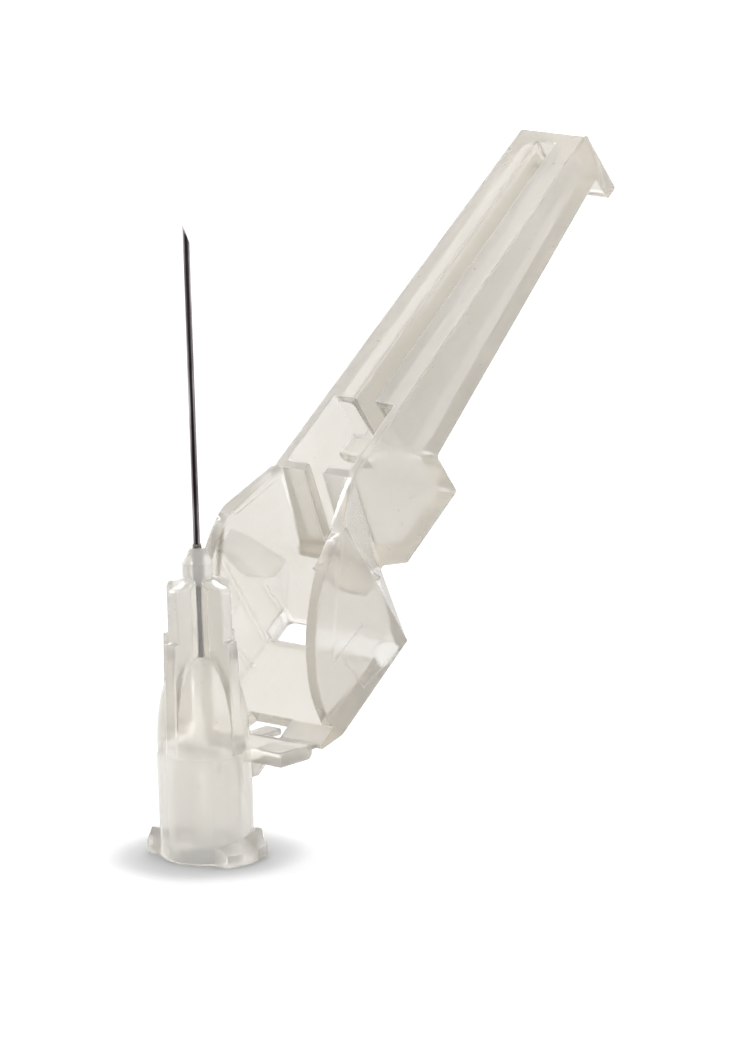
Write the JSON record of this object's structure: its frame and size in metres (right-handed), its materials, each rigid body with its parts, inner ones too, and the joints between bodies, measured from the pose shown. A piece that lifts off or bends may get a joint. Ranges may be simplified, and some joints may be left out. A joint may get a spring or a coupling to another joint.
{
  "type": "safety hypodermic needle",
  "caption": "Hypodermic needle with a luer socket hub and a hinged plastic shield that swings over the bevelled cannula and locks round the hub after use.",
  "frame": {"origin": "centre of the luer socket's mouth, on the hub's open rim", "axes": "+Z along the cannula to its tip, +Y from the hub towards the hinge, +X along the hinge axis and through one luer lug"},
  "size_m": [0.0104, 0.0412, 0.0408],
  "materials": {
    "hub_plastic": "milky natural polypropylene, satin",
    "cannula_steel": "drawn stainless steel",
    "adhesive_resin": "cured clear resin, dark in the well",
    "shield_plastic": "milky natural polypropylene, satin"
  },
  "bodies": {
    "hub": {"hub": "hub_plastic", "cannula": "cannula_steel", "adhesive": "adhesive_resin"},
    "shield": {"shield": "shield_plastic"}
  },
  "joints": [
    {"name": "shield_hinge", "type": "hinge", "parent": "hub", "child": "shield", "pos_m": [0, 0.00545, 0.00646], "axis": [1, 0, 0], "range_deg": [-95.7, 49.28]}
  ]
}
